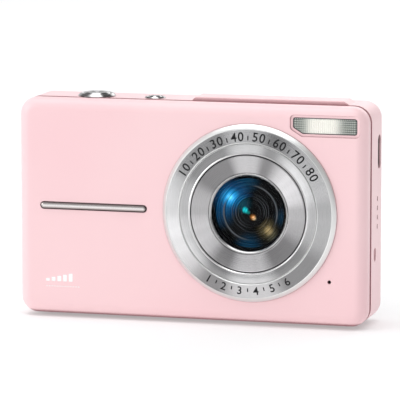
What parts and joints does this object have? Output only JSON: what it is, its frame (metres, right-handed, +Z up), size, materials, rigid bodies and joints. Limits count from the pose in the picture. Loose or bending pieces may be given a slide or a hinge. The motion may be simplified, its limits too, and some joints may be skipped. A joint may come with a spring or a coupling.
{
  "type": "compact digital camera",
  "caption": "Slim pocket digital camera: pink casing, broad metal lens ring on the right, flash window, screen and keys on the back, hinged battery door below.",
  "frame": {"origin": "centre of the footprint, on the surface that the feet stand on", "axes": "+Z up; -Y is the front, where the lens faces; +X is to the right when facing the lens"},
  "size_m": [0.0968, 0.022, 0.0609],
  "materials": {
    "pink_casing": "satin pearl pink paint on moulded plastic",
    "pink_frame": "satin, a shade darker than the covers",
    "pink_keys": "satin pink",
    "ring_metal": "spun, fine concentric brushing",
    "bright_trim": "bright plated",
    "lens_glass": "coated glass, blue and amber reflections",
    "flash_plastic": "clear ribbed plastic",
    "black_plastic": "matte black",
    "screen_glass": "gloss black pane",
    "screen_panel": "satin dark panel",
    "circuit_board": "green solder mask",
    "chip_black": "matte epoxy",
    "plated_steel": "nickel plated",
    "contact_gold": "gold plated",
    "insert_metal": "machined",
    "cell_wrap": "printed wrap on a metal can",
    "capacitor_can": "sleeved can",
    "ribbon": "amber film",
    "lamp": "clear green light pipe",
    "foot_rubber": "pink-grey rubber"
  },
  "bodies": {
    "casing": {"battery": "cell_wrap", "battery_contacts": "contact_gold", "battery_holder": "black_plastic", "board_chips": "chip_black", "card_socket": "plated_steel", "control_board": "circuit_board", "cover_glass": "lens_glass", "feet": "foot_rubber", "flash_capacitor": "capacitor_can", "flash_reflector": "plated_steel", "flash_tube": "flash_plastic", "flash_window": "flash_plastic", "front_cover": "pink_casing", "hinge_pin": "plated_steel", "image_sensor": "chip_black", "ir_filter": "lens_glass", "key_domes": "plated_steel", "lcd_module": "screen_panel", "lcd_window": "screen_glass", "lens_baffle": "black_plastic", "lens_barrel": "black_plastic", "lens_bezel": "bright_trim", "lens_cone": "ring_metal", "lens_elements": "lens_glass", "lens_holder": "black_plastic", "lens_middle_ring": "ring_metal", "lens_mount_plate": "black_plastic", "lens_trim_ring": "ring_metal", "main_board": "circuit_board", "microphone": "plated_steel", "mid_frame": "pink_frame", "power_ring": "bright_trim", "rear_cover": "pink_casing", "ribbon_cables": "ribbon", "screws": "plated_steel", "shutter_ring": "bright_trim", "shutter_spring": "plated_steel", "speaker": "black_plastic", "status_lamp": "lamp", "strap_pin": "plated_steel", "top_board": "circuit_board", "top_pad": "pink_casing", "top_switches": "black_plastic", "trim_bar": "bright_trim", "tripod_insert": "insert_metal", "usb_port": "plated_steel"},
    "shutter": {"shutter_button": "bright_trim"},
    "power": {"power_button": "bright_trim"},
    "zoom": {"zoom_rocker": "pink_keys"},
    "ok": {"ok_key": "pink_keys"},
    "up": {"up_key": "pink_keys"},
    "right": {"right_key": "pink_keys"},
    "down": {"down_key": "pink_keys"},
    "left": {"left_key": "pink_keys"},
    "mode": {"mode_key": "pink_keys"},
    "play": {"play_key": "pink_keys"},
    "menu": {"menu_key": "pink_keys"},
    "delete": {"delete_key": "pink_keys"},
    "door": {"battery_door": "pink_casing"},
    "card": {"memory_card": "black_plastic"}
  },
  "joints": [
    {"name": "shutter_press", "type": "slide", "parent": "casing", "child": "shutter", "axis": [0, 0, -1], "range_m": [0, 0.0008], "stiffness_N_per_m": 1200, "springref_m": -0.0002, "deforming": ["shutter_spring"]},
    {"name": "power_press", "type": "slide", "parent": "casing", "child": "power", "axis": [0, 0, -1], "range_m": [0, 0.0004], "stiffness_N_per_m": 2500, "springref_m": -0.0001},
    {"name": "zoom_tilt", "type": "hinge", "parent": "casing", "child": "zoom", "pos_m": [-0.0345, 0.0085, 0.0514], "axis": [0, 0, 1], "range_deg": [-3, 3], "stiffness_Nm_per_rad": 0.08},
    {"name": "ok_press", "type": "slide", "parent": "casing", "child": "ok", "axis": [0, -1, 0], "range_m": [0, 0.0003], "stiffness_N_per_m": 3000, "springref_m": -0.0001},
    {"name": "up_press", "type": "slide", "parent": "casing", "child": "up", "axis": [0, -1, 0], "range_m": [0, 0.0003], "stiffness_N_per_m": 3000, "springref_m": -0.0001},
    {"name": "right_press", "type": "slide", "parent": "casing", "child": "right", "axis": [0, -1, 0], "range_m": [0, 0.0003], "stiffness_N_per_m": 3000, "springref_m": -0.0001},
    {"name": "down_press", "type": "slide", "parent": "casing", "child": "down", "axis": [0, -1, 0], "range_m": [0, 0.0003], "stiffness_N_per_m": 3000, "springref_m": -0.0001},
    {"name": "left_press", "type": "slide", "parent": "casing", "child": "left", "axis": [0, -1, 0], "range_m": [0, 0.0003], "stiffness_N_per_m": 3000, "springref_m": -0.0001},
    {"name": "mode_press", "type": "slide", "parent": "casing", "child": "mode", "axis": [0, -1, 0], "range_m": [0, 0.0003], "stiffness_N_per_m": 3000, "springref_m": -0.0001},
    {"name": "play_press", "type": "slide", "parent": "casing", "child": "play", "axis": [0, -1, 0], "range_m": [0, 0.0003], "stiffness_N_per_m": 3000, "springref_m": -0.0001},
    {"name": "menu_press", "type": "slide", "parent": "casing", "child": "menu", "axis": [0, -1, 0], "range_m": [0, 0.0003], "stiffness_N_per_m": 3000, "springref_m": -0.0001},
    {"name": "delete_press", "type": "slide", "parent": "casing", "child": "delete", "axis": [0, -1, 0], "range_m": [0, 0.0003], "stiffness_N_per_m": 3000, "springref_m": -0.0001},
    {"name": "door_swing", "type": "hinge", "parent": "casing", "child": "door", "pos_m": [-0.0069, 0.0031, 0.0018], "axis": [0, -1, 0], "range_deg": [0, 90]},
    {"name": "card_slide", "type": "slide", "parent": "casing", "child": "card", "axis": [0, 0, -1], "range_m": [-0.0006, 0.0028]}
  ]
}
